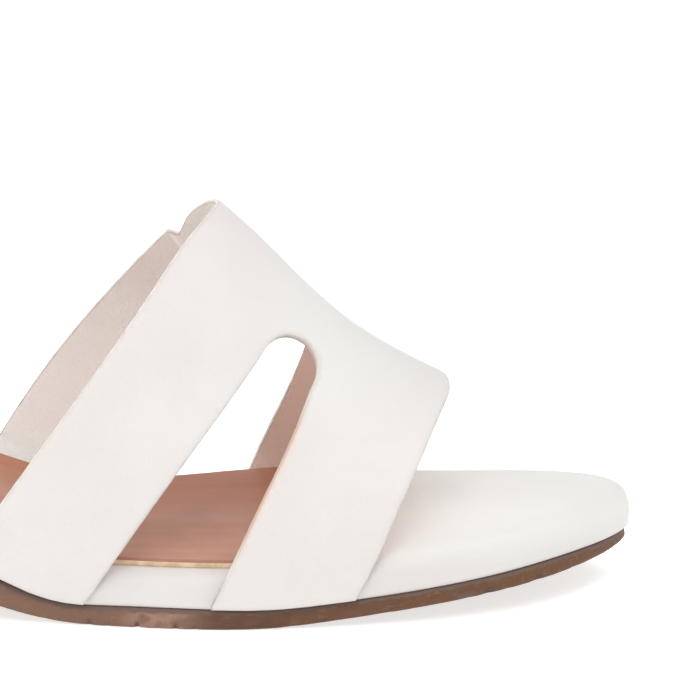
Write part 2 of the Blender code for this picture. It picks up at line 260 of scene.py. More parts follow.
@dataclass(frozen=True)
class LastForm:
    """The plan and side profile of the last's bottom, which every layer of the sole follows."""

    length: float = 238.0
    origin: Triple = (118.93, -0.31, 0.0)
    # Place along the shoe, half width to the outer side, to the inner side.
    widths: Table = (
        (0.0, 28.5, 28.5), (40.0, 30.5, 29.6), (94.0, 34.0, 26.8), (124.0, 37.5, 28.1),
        (152.0, 41.6, 36.3), (172.0, 40.3, 40.9), (203.0, 38.2, 34.6), (238.0, 39.5, 36.0),
    )
    # Place along the shoe, thickness of the outsole.
    sole: Table = (
        (0.0, 4.6), (60.0, 5.3), (104.0, 5.8), (118.0, 4.4), (130.0, 4.5),
        (150.0, 4.5), (180.0, 3.9), (216.0, 3.7), (229.0, 3.4), (238.0, 2.5),
    )
    plain_sole: float = 3.6  # the outsole's thickness in the tables of the layers' sides
    footbed_top: float = 12.3
    # Reach along the shoe, power, closing power of each rounded end.
    heel_round: Triple = (30.0, 2.0, 0.50)
    toe_round_outer: Triple = (66.0, 2.8, 0.72)
    toe_round_inner: Triple = (68.0, 2.0, 0.61)
    tip_softness: float = 0.012
    toe_drift: float = 3.0
    toe_drift_start: float = 154.0
    tread_back: float = 137.2
    tread_front: float = 160.0
    ball_skew: float = 0.125
    shank_slope: float = 0.335
    shank_ease: float = 30.5
    seat_start: float = 64.0
    seat_ease: float = 36.0
    seat_slope: float = 0.08
    toe_slope: float = 0.115
    toe_ease: float = 20.0

    def closing(self, distance: Array, rounding: Triple) -> Array:
        """Return the share of full width left near a rounded end.

        Formula: with s = 1 - u^power, the share is the root of s times a power of s plus a
        little softness, so that the tip itself is round however slim the closing is.

        Args:
            distance: how far from the end.
            rounding: the end's reach, power and closing power.
        """
        reach, power, closing_power = rounding
        s = 1.0 - np.clip((reach - distance) / reach, 0.0, 1.0) ** power
        soft = (s + self.tip_softness) / (1.0 + self.tip_softness)
        return np.sqrt(s) * soft ** (closing_power - 0.5)

    def centre_line(self, x: Array) -> Array:
        """Return the sideways place of the centre line, which drifts inwards at the toe."""
        share = (x - self.toe_drift_start) / (self.length - self.toe_drift_start)
        return self.toe_drift * np.clip(share, 0.0, 1.0) ** 2

    def edge(self, x: Array, side: Side) -> Array:
        """Return the sideways place of the plan's edge: half width, closed at heel and toe."""
        toe_round = self.toe_round_outer if side is Side.OUTER else self.toe_round_inner
        half = HALF_WIDTH[side](x) * self.closing(self.length - x, toe_round)
        return self.centre_line(x) + side.value * (half * self.closing(x, self.heel_round))

    @staticmethod
    def ramp(distance: Array, slope: float, ease: float) -> Array:
        """Return the height of a ramp that starts softly at 0 and is even past its ease.

        Formula: slope times ease times u^3 - u^4/2, then u - 1/2, with u = distance / ease.

        Args:
            distance: how far up the ramp.
            slope: its slope past the ease.
            ease: the distance over which the slope comes in.
        """
        u = distance / ease
        soft = np.clip(u, 0.0, 1.0)
        return slope * ease * np.where(u < 1.0, soft ** 3 - soft ** 4 / 2.0, u - 0.5)

    def underside(self, x: Array, y: Array) -> Array:
        """Return the height of the outsole's underside: tread, shank, heel seat, toe spring."""
        s = x - self.ball_skew * y
        shank = self.ramp(self.tread_back - s, self.shank_slope, self.shank_ease)
        seat = self.ramp(self.seat_start - s, self.shank_slope - self.seat_slope, self.seat_ease)
        return shank - seat + self.ramp(s - self.tread_front, self.toe_slope, self.toe_ease)

    def slope(self, x: Array, y: Array) -> Array:
        """Return the underside's slope along the shoe, by a short central difference."""
        reach = 0.05
        return (self.underside(x + reach, y) - self.underside(x - reach, y)) / (2.0 * reach)

    def layered(self, x: Array, height: Array) -> Array:
        """Return a height of the layers' side tables as it truly is at a place along the shoe.

        Formula: heights within the outsole are scaled to its true thickness; those between the
        outsole and the footbed's top keep their share of the way; higher ones stay.

        Args:
            x: the place along the shoe.
            height: the height over the plain sole's underside.
        """
        thickness = SOLE_THICKNESS(x)
        share = (height - self.plain_sole) / (self.footbed_top - self.plain_sole)
        within = thickness + (self.footbed_top - thickness) * share
        higher = np.where(height < self.footbed_top, within, height)
        return np.where(height < self.plain_sole, height * thickness / self.plain_sole, higher)

    def above(self, rows: Array) -> Array:
        """Return points (x, y, height) set at that height above the underside, square to it."""
        x, y = rows[..., 0], rows[..., 1]
        slope = self.slope(x, y)
        raised = self.layered(x, rows[..., 2]) / np.sqrt(1.0 + slope ** 2)
        return np.stack([x - slope * raised, y, self.underside(x, y) + raised], axis=-1)

    def outline(self, stations: int, front: float) -> Array:
        """Return the closed plan outline, anticlockwise from above.

        Formula: stations stand at front * (1 - cos(angle)) / 2, closer together at both ends;
        the line runs out along the outer side and back along the inner side.

        Args:
            stations: how many places along the shoe.
            front: where the outline ends at the front.

        Returns:
            Points, shape (2 * stations - 2, 2).
        """
        x = front * (1.0 - np.cos(np.linspace(0.0, math.pi, stations))) / 2.0
        outer, inner = (np.stack([x, self.edge(x, side)], axis=-1) for side in Side)
        return np.concatenate([outer, inner[-2:0:-1]])

    def short_outline(self, stations: int, front: float, rounding: Triple, margin: float) -> Array:
        """Return the plan outline closed early at the front, and drawn in by a margin.

        Args:
            stations: how many places along the shoe.
            front: where it ends at the front.
            rounding: how it closes there, as for closing().
            margin: how far it is drawn in all round.
        """
        x, y = self.outline(stations, front).T
        middle = self.centre_line(x)
        closed = np.stack([x, middle + (y - middle) * self.closing(front - x, rounding)], axis=-1)
        return closed - margin * outward(closed)


FORM = LastForm()
HALF_WIDTH = {side: NaturalCurve(FORM.widths, column) for column, side in enumerate(Side, 1)}
SOLE_THICKNESS = NaturalCurve(FORM.sole)


def outward(outline: Array) -> Array:
    """Return the outward direction at each point of an anticlockwise outline."""
    along = np.roll(outline, -1, axis=0) - np.roll(outline, 1, axis=0)
    return unit(np.stack([along[:, 1], -along[:, 0]], axis=-1))


@dataclass(frozen=True)
class Loft:
    """A closed layer: a side profile carried round an outline, closed over its two faces."""

    outline: Array
    profile: Array  # pairs of out and height, from the bottom edge to the top edge
    caps: int  # rings on each face
    extra_out: Array | float = 0.0  # further out, for each side row and outline point
    middle: float = 119.0  # the place along the shoe that the faces close towards
    keep: float = 0.80  # how much of the outline's length the closing line keeps
    cap_shape: float = 1.25  # above 1 packs the rings towards the edge

    def rows(self) -> Array:
        """Return the rings of plan points and heights, from the bottom's middle to the top's.

        Formula: a side ring is the outline plus out times the outward direction; a cap ring is
        the nearest side ring drawn, by a share of the way, towards the centre line shortened
        about its middle.
        """
        out = self.profile[:, 0][:, None] + self.extra_out
        plan = self.outline[None] + out[..., None] * outward(self.outline)[None]
        height = np.broadcast_to(self.profile[:, 1][:, None], plan.shape[:2])
        side = np.concatenate([plan, height[..., None]], axis=-1)
        x = self.middle + (self.outline[:, 0] - self.middle) * self.keep
        share = (np.linspace(0.0, 1.0, self.caps + 1)[1:] ** self.cap_shape)[:, None, None]
        bottom, top = (
            ring[None] * (1.0 - share) + np.stack([x, FORM.centre_line(x), ring[:, 2]], axis=-1)[None] * share
            for ring in (side[0], side[-1])
        )
        return np.concatenate([bottom[::-1], side, top])

    def shape(self, place: Callable[[Array], Array] = FORM.above) -> Shape:
        """Return the layer's mesh; place turns (x, y, height) into points of the sandal."""
        rows = self.rows()
        index = np.arange(rows[..., 0].size).reshape(rows.shape[:2])
        return Shape(place(rows).reshape(-1, 3), ring_faces(index))


# ---- materials


def srgb(red: float, green: float, blue: float) -> Colour:
    """Return a colour given in 0 to 255 display values as linear values with alpha 1."""
    share = np.array([red, green, blue]) / 255.0
    linear = np.where(share <= 0.04045, share / 12.92, ((share + 0.055) / 1.055) ** 2.4)
    return (*linear.tolist(), 1.0)


class Effect(Enum):
    """The node groups that more than one finish uses."""

    GRAIN = "leather_grain"
    DRIFT = "tone_drift"
    WEAR = "edge_wear"
    STREAKS = "lengthwise_streaks"


class Bench:
    """Adds nodes to one tree and links them."""

    def __init__(self, tree: bpy.types.NodeTree) -> None:
        """Work on a tree, whose socket for the place on the piece is set once it is there."""
        self.tree = tree
        self.place: Socket | None = None

    def feed(self, node: bpy.types.Node, values: dict) -> bpy.types.Node:
        """Give a node its inputs.

        Args:
            node: the node.
            values: by socket name or number, a constant, or an output socket to link.

        Returns:
            The node.
        """
        for key, value in values.items():
            if isinstance(value, Socket):
                self.tree.links.new(value, node.inputs[key])
            else:
                node.inputs[key].default_value = value
        return node

    def add(self, kind: str, values: dict, **settings: object) -> Sockets:
        """Add a node and return its outputs.

        Args:
            kind: the node's type, without its "ShaderNode" start.
            values: its inputs, as for feed().
            settings: the node's own properties.
        """
        node = self.tree.nodes.new("ShaderNode" + kind)
        for key, value in settings.items():
            setattr(node, key, value)
        return self.feed(node, values).outputs

    def use(self, effect: Effect, **values: object) -> Sockets:
        """Place a shared effect with its own values, and return its outputs."""
        group = bpy.data.node_groups[effect.value]
        return self.add("Group", {"Place": self.place, **values}, node_tree=group)

    def math(self, operation: str, a: object, b: object) -> Socket:
        """Return the result of one sum on two numbers or sockets."""
        return self.add("Math", {0: a, 1: b}, operation=operation)[0]

    def product(self, a: object, b: object) -> Socket:
        """Return two numbers or sockets multiplied."""
        return self.math("MULTIPLY", a, b)

    def coat(self, colour: object, *coats: tuple[object, object]) -> Socket:
        """Return a colour with others laid over it in turn, each given with its share."""
        for share, over in coats:
            colour = self.add("Mix", {0: share, 6: colour, 7: over}, data_type="RGBA")[2]
        return colour

    def spread(self, value: Socket, low: float, high: float, start: float = 0.0, end: float = 1.0) -> Socket:
        """Return a value moved softly from low and high to start and end, and held there."""
        values = {"Value": value, "From Min": low, "From Max": high, "To Min": start, "To Max": end}
        return self.add("MapRange", values, interpolation_type="SMOOTHSTEP")[0]

    def noise(self, scale: object, detail: float, roughness: float = 0.5) -> Socket:
        """Return cloudy noise with a number of patches to the millimetre."""
        values = {"Vector": self.place, "Scale": scale, "Detail": detail, "Roughness": roughness}
        return self.add("TexNoise", values)["Fac"]

    def axes(self) -> list[Socket]:
        """Return the place's three coordinates, in millimetres."""
        return list(self.add("SeparateXYZ", {0: self.place}))

    def value(self, attribute: Attribute) -> Socket:
        """Return what the mesh carries under a name."""
        return self.add("Attribute", {}, attribute_name=attribute.value)["Fac"]


def leather_grain(bench: Bench, given: Sockets) -> dict[str, Socket]:
    """Leather grain: small raised cells between fine furrows, with an uneven swell under them."""
    warp = bench.add("TexNoise", {"Vector": bench.place, "Scale": 0.9, "Detail": 2.0})["Color"]
    bent = bench.add("VectorMath", {0: warp, 1: (0.35, 0.35, 0.35)}, operation="MULTIPLY")[0]
    moved = bench.add("VectorMath", {0: bench.place, 1: bent}, operation="ADD")[0]
    scale = bench.math("DIVIDE", 1.0, given["Size"])
    cells = bench.add("TexVoronoi", {"Vector": moved, "Scale": scale}, feature="DISTANCE_TO_EDGE")
    furrow = bench.spread(cells["Distance"], 0.0, 0.22)
    swell = bench.noise(bench.product(scale, 0.35), 3.0)
    height = bench.math("ADD", bench.product(furrow, 0.45), bench.product(swell, 0.8))
    return {"Height": height, "Pores": bench.math("SUBTRACT", 1.0, furrow)}


def tone_drift(bench: Bench, given: Sockets) -> dict[str, Socket]:
    """Uneven tone: two colours that drift into each other over a given size."""
    share = bench.spread(bench.noise(bench.math("DIVIDE", 1.0, given["Size"]), 3.0, 0.55), 0.32, 0.68)
    return {"Colour": bench.coat(given["First"], (share, given["Second"])), "Share": share}


def edge_wear(bench: Bench, given: Sockets) -> dict[str, Socket]:
    """Edge wear and painted edge shade: 1 at an edge, ragged, gone at a given reach from it."""
    reach = bench.product(given["Reach"], bench.spread(bench.noise(0.8, 4.0), 0.3, 0.7, 0.45, 1.4))
    near = bench.math("SUBTRACT", 1.0, bench.math("DIVIDE", given["Distance"], reach))
    return {"Mask": bench.spread(near, 0.0, 1.0)}


def lengthwise_streaks(bench: Bench, given: Sockets) -> dict[str, Socket]:
    """Lengthwise streaks: noise drawn out along the shoe, broad ones with fine ones in them."""
    scale = bench.math("DIVIDE", 1.0, given["Width"])
    bench.place = bench.add("Mapping", {"Vector": bench.place, "Scale": (0.06, 1.0, 0.6)})[0]
    return {"Broad": bench.noise(scale, 3.0), "Fine": bench.noise(bench.product(scale, 4.5), 4.0, 0.6)}


# Each shared effect: how it is made from a bench and the group's inputs, then the names of its
# inputs after the place and of its outputs.
EFFECTS = {
    Effect.GRAIN: (leather_grain, ("Size",), ("Height", "Pores")),
    Effect.DRIFT: (tone_drift, ("Size", "First", "Second"), ("Colour", "Share")),
    Effect.WEAR: (edge_wear, ("Distance", "Reach"), ("Mask",)),
    Effect.STREAKS: (lengthwise_streaks, ("Width",), ("Broad", "Fine")),
}
# The type of each input or output that isn't a plain number.
SOCKET_KINDS = {"Place": "Vector", "First": "Color", "Second": "Color", "Colour": "Color"}


def make_effects() -> None:
    """Build each shared node group once."""
    for effect, (make, inputs, outputs) in EFFECTS.items():
        tree = bpy.data.node_groups.new(effect.value, "ShaderNodeTree")
        for in_out, names in (("INPUT", ("Place", *inputs)), ("OUTPUT", outputs)):
            for name in names:
                kind = "NodeSocket" + SOCKET_KINDS.get(name, "Float")
                tree.interface.new_socket(name, in_out=in_out, socket_type=kind)
        given = tree.nodes.new("NodeGroupInput").outputs
        bench = Bench(tree)
        bench.place = given["Place"]
        bench.feed(tree.nodes.new("NodeGroupOutput"), make(bench, given))


def new_material(name: str) -> tuple[Material, Bench, bpy.types.Node]:
    """Start a material.

    Args:
        name: its name.

    Returns:
        The material, a bench that knows the place on the piece, and its Principled shader.
    """
    material = bpy.data.materials.new(name)
    material.use_nodes = True
    bench = Bench(material.node_tree)
    where = bench.add("TexCoord", {})["Object"]
    bench.place = bench.add("Mapping", {"Vector": where, "Scale": (1.0 / MM,) * 3})[0]
    return material, bench, material.node_tree.nodes["Principled BSDF"]


@dataclass(frozen=True)
class Finish:
    """What every finish has: a tone that drifts between two colours, and detail laid over it."""

    name: str
    light: Colour
    dark: Colour
    drift: float  # the size of the patches of tone, in millimetres
    shine: float  # the shader's specular level
    depth: float  # of the relief, in millimetres

    def dress(self, bench: Bench, tone: Sockets) -> Look:
        """Return the colour, the roughness and the relief's height.

        Args:
            bench: adds to the material's tree.
            tone: the drifting colour, and the share of its darker tone.
        """
        raise NotImplementedError

    def build(self) -> Material:
        """Return the material."""
        material, bench, shader = new_material(self.name)
        tone = bench.use(Effect.DRIFT, Size=self.drift, First=self.light, Second=self.dark)
        colour, rough, height = self.dress(bench, tone)
        bump = bench.add("Bump", {"Strength": 1.0, "Distance": self.depth * MM, "Height": height})[0]
        look = {"Base Color": colour, "Roughness": rough, "Specular IOR Level": self.shine, "Normal": bump}
        bench.feed(shader, look)
        return material


@dataclass(frozen=True)
class Leather(Finish):
    """A leather: pores between the cells of its grain, and another tone along its cut edges, wear on white
    leather, painted shade on the sock.
    """

    pore_tone: Colour
    pores: float  # how much of the pores' tone shows
    grain: float  # the size of the grain's cells, in millimetres
    wear_and_shade_reach: float = 0.0  # in millimetres from a cut edge, 0 where there is none
    wear_and_shade_share: float = 0.0

    def grained(self, bench: Bench, colour: Socket) -> tuple[Socket, Sockets]:
        """Return the colour with the pores toned, and the grain's outputs."""
        grain = bench.use(Effect.GRAIN, Size=self.grain)
        return bench.coat(colour, (bench.product(grain["Pores"], self.pores), self.pore_tone)), grain

    def wear_and_shade_mask(self, bench: Bench) -> Socket:
        """Return the share of the edge's tone, wear on white leather and painted shade on the sock, from the
        distance to the cut edge.
        """
        wear_and_shade = bench.use(Effect.WEAR, Distance=bench.value(Attribute.EDGE), Reach=self.wear_and_shade_reach)
        return bench.product(wear_and_shade["Mask"], self.wear_and_shade_share)


@dataclass(frozen=True)
class WhiteLeather(Leather):
    """Smooth white leather: cool and warm patches, a painted cool light towards the toe and top, fine grain,
    toned edges.
    """

    light: Colour = srgb(212, 208, 206)
    dark: Colour = srgb(210, 204, 201)
    painted_top_light: Colour = srgb(212, 211, 208)
    edge_tone: Colour = srgb(205, 200, 196)
    painted_warm_light: Colour = srgb(210, 188, 173)
    pore_tone: Colour = srgb(203, 197, 192)
    drift: float = 26.0
    shine: float = 0.4
    depth: float = 0.035
    pores: float = 0.16
    grain: float = 0.42
    wear_and_shade_share: float = 0.75
    painted_light_along: Pair = (38.0, 56.0)  # the painted cool light from above is full past this place
    painted_light_height: Pair = (38.0, 50.0)  # and above this height
    roughness: Pair = (0.40, 0.50)
    pore_roughness: float = 0.10

    def dress(self, bench: Bench, tone: Sockets) -> Look:
        """Tint the tone cooler towards the toe and the top with painted light, then add pores and worn edges,
        with painted warm light beside the slot.
        """
        x, _, z = bench.axes()
        # painted light: a cooler, slightly lighter tone towards the toe and the top, where light falls from
        # above
        painted_light_share = bench.product(bench.spread(x, *self.painted_light_along), bench.spread(z, *self.painted_light_height))
        colour, grain = self.grained(bench, bench.coat(tone["Colour"], (painted_light_share, self.painted_top_light)))
        if self.wear_and_shade_reach:
            # painted warm light along the outer front leg's slot edge
            toned = bench.coat(self.edge_tone, (bench.value(Attribute.WARM), self.painted_warm_light))
            colour = bench.coat(colour, (self.wear_and_shade_mask(bench), toned))
        rough = bench.spread(tone["Share"], 0.0, 1.0, *self.roughness)
        rough = bench.math("ADD", rough, bench.product(grain["Pores"], self.pore_roughness))
        return colour, rough, grain["Height"]


@dataclass(frozen=True)
class CutEdge(Finish):
    """The raw cut edge of leather: pale fibres, matt, a little uneven, in places warmed by painted light."""

    light: Colour = srgb(209, 203, 198)
    dark: Colour = srgb(197, 190, 184)
    painted_warm_light: Colour = srgb(192, 168, 152)
    drift: float = 3.0
    shine: float = 0.25
    depth: float = 0.10
    roughness: float = 0.8
    fibre_share: float = 0.6

    def dress(self, bench: Bench, tone: Sockets) -> Look:
        """Speckle the tone with fibres, then add the painted warm light beside the slot."""
        fibres = bench.noise(3.5, 5.0, 0.65)
        colour = bench.coat(
            tone["Colour"],
            (bench.spread(fibres, 0.45, 0.75, 0.0, self.fibre_share), self.dark),
            # painted warm light along the outer front leg's slot edge
            (bench.value(Attribute.WARM), self.painted_warm_light),
        )
        return colour, self.roughness, fibres


@dataclass(frozen=True)
class LiningLeather(Leather):
    """Pale lining leather: tiny follicles, painted light low at the back, painted warm shade on the front
    legs.
    """

    light: Colour = srgb(227, 223, 218)
    dark: Colour = srgb(222, 217, 211)
    # the pale tone is painted light low on the lining; the warmer one after it is painted shade on the front
    # legs
    pale: Colour = srgb(251, 253, 252)
    painted_front_shade: Colour = srgb(234, 208, 196)
    pore_tone: Colour = srgb(214, 200, 191)
    lining_end: Colour = srgb(244, 241, 238)
    facing: Colour = srgb(230, 229, 224)
    drift: float = 16.0
    shine: float = 0.3
    depth: float = 0.05
    pores: float = 0.12
    grain: float = 0.55
    roughness: float = 0.62

    def dress(self, bench: Bench, tone: Sockets) -> Look:
        """Lighten the tone low down with painted light, warm it forwards with painted shade, and end it in a
        thin line and a facing.
        """
        x, _, z = bench.axes()
        # painted light low down, painted warm shade on the front legs
        pale = bench.spread(z, 28.0, 62.0, 1.0, 0.0)
        colour = bench.coat(tone["Colour"], (pale, self.pale), (bench.spread(x, 22.0, 44.0), self.painted_front_shade))
        colour, grain = self.grained(bench, colour)
        past = bench.value(Attribute.FACING)
        colour = bench.coat(
            colour,
            (bench.spread(past, -0.8, -0.4), self.lining_end),
            (bench.spread(past, 0.0, 0.5), self.facing),
        )
        return colour, self.roughness, grain["Height"]


@dataclass(frozen=True)
class TanLeather(Leather):
    """Tan sock leather: lengthwise streaks, painted warm shade towards the inner side, painted shade along
    its rim.
    """

    light: Colour = srgb(175, 129, 108)
    dark: Colour = srgb(163, 117, 98)
    streak: Colour = srgb(181, 135, 113)
    # painted warm shade towards the inner side
    painted_inner_shade: Colour = srgb(164, 101, 69)
    pore_tone: Colour = srgb(163, 117, 98)
    # painted shade along the sock's cut edge
    rim: Colour = srgb(128, 82, 58)
    drift: float = 9.0
    shine: float = 0.35
    depth: float = 0.05
    pores: float = 0.22
    grain: float = 0.5
    wear_and_shade_reach: float = 1.3
    wear_and_shade_share: float = 0.35
    streak_width: float = 7.0
    roughness: Pair = (0.42, 0.56)

    def dress(self, bench: Bench, tone: Sockets) -> Look:
        """Streak the tone, darken it inwards with painted warm shade, then add pores and the painted shade
        along the rim.
        """
        streaks = bench.use(Effect.STREAKS, Width=self.streak_width)
        broad = bench.spread(streaks["Broad"], 0.34, 0.68, 0.0, 0.5)
        colour = bench.coat(
            tone["Colour"],
            (broad, self.dark),
            (bench.spread(streaks["Fine"], 0.46, 0.76, 0.0, 0.35), self.streak),
            # painted warm shade towards the inner side
            (bench.spread(bench.axes()[1], -6.0, 18.0, 0.0, 0.85), self.painted_inner_shade),
        )
        colour, grain = self.grained(bench, colour)
        relief = bench.math("ADD", grain["Height"], bench.product(streaks["Fine"], 0.8))
        # painted shade along the sock's cut edge
        colour = bench.coat(colour, (self.wear_and_shade_mask(bench), self.rim))
        return colour, bench.spread(broad, 0.0, 1.0, *self.roughness), relief


@dataclass(frozen=True)
class SoleEdge(Finish):
    """Brown sole edge: grey line along the top, partly painted shade, speckled body, paler at the arch,
    scuffs, chips.
    """

    light: Colour = srgb(102, 69, 50)
    dark: Colour = srgb(85, 57, 42)
    orange: Colour = srgb(100, 66, 39)
    # the grey line is partly the edge's own dark finish, partly painted shade of the gap under the wrap and
    # the straps
    dark_line: Colour = srgb(100, 82, 74)
    arch: Colour = srgb(125, 94, 76)
    pale: Colour = srgb(152, 118, 103)
    scuff: Colour = srgb(152, 121, 104)
    chip_tone: Colour = srgb(66, 48, 40)
    drift: float = 7.0
    shine: float = 0.35
    depth: float = 0.12
    scuff_width: float = 2.6
    line_width: Pair = (1.3, 1.05)  # millimetres, at the arch and at the toe
    roughness: Pair = (0.52, 0.70)

    def dress(self, bench: Bench, tone: Sockets) -> Look:
        """Change the tone along the shoe, then lay speckles, scuffs, stains, the line and the darker chips
        over it.
        """
        x = bench.axes()[0]
        patchy, speckle = bench.noise(0.35, 4.0), bench.noise(2.2, 5.0, 0.7)
        rubbed = bench.product(bench.spread(x, 12.0, 19.0, 0.0, 0.85), bench.spread(x, 26.0, 31.0, 1.0, 0.0))
        rubbed = bench.product(rubbed, bench.spread(patchy, 0.36, 0.58, 0.15, 1.0))
        scuffs = bench.use(Effect.STREAKS, Width=self.scuff_width)
        wide = bench.product(patchy, bench.spread(x, 0.0, 60.0, *self.line_width))
        drop = bench.math("DIVIDE", bench.value(Attribute.DROP), wide)
        colour = bench.coat(
            tone["Colour"],
            (bench.spread(x, 20.0, 95.0, 0.0, 0.75), self.orange),
            (bench.spread(x, 26.0, 34.0, 0.8, 0.0), self.arch),
            (rubbed, self.pale),
            (bench.spread(speckle, 0.56, 0.74, 0.0, 0.6), self.dark),
            (bench.spread(scuffs["Fine"], 0.54, 0.78, 0.0, 0.3), self.scuff),
            (bench.spread(scuffs["Broad"], 0.42, 0.30, 0.0, 0.6), self.dark_line),
            # grey line along the top: partly dark finish, partly painted shade of the gap under the wrap and
            # straps
            (bench.spread(drop, 1.2, 2.2, 0.9, 0.0), self.dark_line),
            # darker tone in the chips
            (bench.spread(bench.value(Attribute.CHIP), 0.03, 0.4, 0.0, 0.8), self.chip_tone),
        )
        return colour, bench.spread(speckle, 0.3, 0.7, *self.roughness), speckle


@dataclass(frozen=True)
class HeelRubber(Finish):
    """Dark rubber of the heel's top piece: dull, faintly speckled."""

    light: Colour = srgb(88, 62, 50)
    dark: Colour = srgb(118, 92, 76)
    drift: float = 2.4
    shine: float = 0.5
    depth: float = 0.08
    roughness: Pair = (0.60, 0.78)

    def dress(self, bench: Bench, tone: Sockets) -> Look:
        """Leave the tone as it is, duller where there is dust."""
        return tone["Colour"], bench.spread(tone["Share"], 0.0, 1.0, *self.roughness), bench.noise(2.6, 4.0)


# ---- sole pieces


@dataclass(frozen=True)
class Outsole:
    """The thin tread layer under the whole length, with its small chips along the lower edge."""

    stations: int = 800
    side_rows: int = 18
    caps: int = 10
    side: Table = (
        (-1.3, 0.0), (-0.55, 0.12), (-0.12, 0.6), (0.0, 1.6), (0.0, 2.8), (-0.14, 3.36), (-0.6, 3.58),
    )
    # Each chip's place along the shoe, half width and depth.
    chips: Table = (
        (126.3, 0.8, 0.38), (130.3, 0.6, 0.24), (136.3, 0.5, 0.62), (140.5, 0.4, 0.18),
        (144.3, 0.7, 0.50), (148.2, 0.6, 0.30), (189.0, 0.5, 0.22), (209.3, 1.1, 0.50),
        (213.5, 0.8, 0.24), (219.8, 1.1, 0.46), (227.5, 0.7, 0.22),
    )
    worn_share: float = 0.55  # of the way up the side over which chips and scuffs die away
    scuffs: Ripple = Ripple(17.0, 1.3)
    scuff_start: float = 0.30  # the wave's height past which the edge is worn
    scuff_depth: float = 0.45
    gentle: Ripple = Ripple(9.0, 0.4, 0.06)

    def build(self, finish: Material) -> None:
        """Make the outsole.

        Formula: the side is uneven by a gentle wave at every height. Bells at the chips on the
        outer side and the crests of a second wave are taken off it, by a share that falls from
        1 at the bottom to nothing half way up.

        Args:
            finish: the edge's material.
        """
        outline = FORM.outline(self.stations, FORM.length)
        profile = smooth_profile(self.side, self.side_rows)
        low = np.clip(1.0 - profile[:, 1] / (self.worn_share * FORM.plain_sole), 0.0, 1.0)[:, None]
        bells = sum(depth * hump(outline[:, 0] - x, width) for x, width, depth in self.chips)
        chipped = np.where(outline[:, 1] < 0.0, bells, 0.0) * low
        scuffed = self.scuff_depth * np.clip(self.scuffs.along(outline) - self.scuff_start, 0.0, None)
        extra = self.gentle.along(outline) - scuffed * low - chipped
        loft = Loft(outline, profile, self.caps, extra)
        shape, rows = loft.shape(), loft.rows()
        depth = np.zeros(rows.shape[:2])
        depth[self.caps:-self.caps] = chipped
        drop = FORM.layered(rows[..., 0], FORM.plain_sole - rows[..., 2])
        shape.values = {Attribute.DROP: drop.ravel(), Attribute.CHIP: depth.ravel()}
        make_piece("outsole_layer", "outsole", shape, [finish])


@dataclass(frozen=True)
class Footbed:
    """The padded board with the white leather wrapped round its bulging side."""

    stations: int = 300
    side_rows: int = 40
    caps: int = 22
    side: Table = (
        (-2.2, 3.62), (-0.45, 3.64), (0.1, 4.05), (0.55, 5.3), (0.85, 7.2),
        (0.75, 8.8), (0.25, 10.3), (-0.75, 11.4), (-2.2, 12.1), (-4.4, 12.45),
    )
    toe_bulge: float = 0.7  # how much further the side stands out at the toe's tip
    toe_reach: float = 22.0

    def build(self, finish: Material) -> None:
        """Make the footbed.

        Formula: towards the tip the side stands further out by a share that grows with the
        square of the way along the toe's reach.

        Args:
            finish: the wrap's material.
        """
        outline = FORM.outline(self.stations, FORM.length)
        way = np.clip((outline[:, 0] - FORM.length + self.toe_reach) / self.toe_reach, 0.0, 1.0)
        profile = smooth_profile(self.side, self.side_rows)
        loft = Loft(outline, profile, self.caps, self.toe_bulge * way ** 2)
        make_piece("footbed_wrap", "footbed", loft.shape(), [finish])


@dataclass(frozen=True)
class SockLining:
    """The tan leather sock with its raw cut edge, ending under the front of the upper."""

    stations: int = 260
    margin: float = 3.8
    front: float = 176.0
    front_round: Triple = (18.0, 4.0, 0.45)
    uneven: Ripple = Ripple(11.0, 2.1, 0.07)
    side: Table = ((-1.2, 12.30), (-0.1, 12.42), (0.0, 12.9), (-0.02, 13.5), (-0.18, 13.86), (-0.6, 14.0))
    side_rows: int = 12
    tan_rows: int = 4  # of the side, at the top, where the edge is already tan
    caps: int = 24

    def build(self, tan: Material, raw_edge: Material) -> None:
        """Make the sock lining: the last's plan, drawn in by the margin, with a hand-cut edge.

        Args:
            tan: the top's material.
            raw_edge: the cut edge's material.
        """
        outline = FORM.short_outline(self.stations, self.front, self.front_round, self.margin)
        outline = outline + self.uneven.along(outline)[:, None] * outward(outline)
        profile = smooth_profile(self.side, self.side_rows)
        loft = Loft(outline, profile, self.caps, middle=self.front / 2.0)
        shape, rows = loft.shape(), loft.rows()
        level = np.arange(len(rows) - 1) < self.caps + self.side_rows - self.tan_rows
        shape.finish_of_face = np.repeat(level, len(outline))
        shape.values[Attribute.EDGE] = np.linalg.norm(rows[..., :2] - outline[None], axis=-1).ravel()
        make_piece("sock_leather", "sock_lining", shape, [tan, raw_edge])


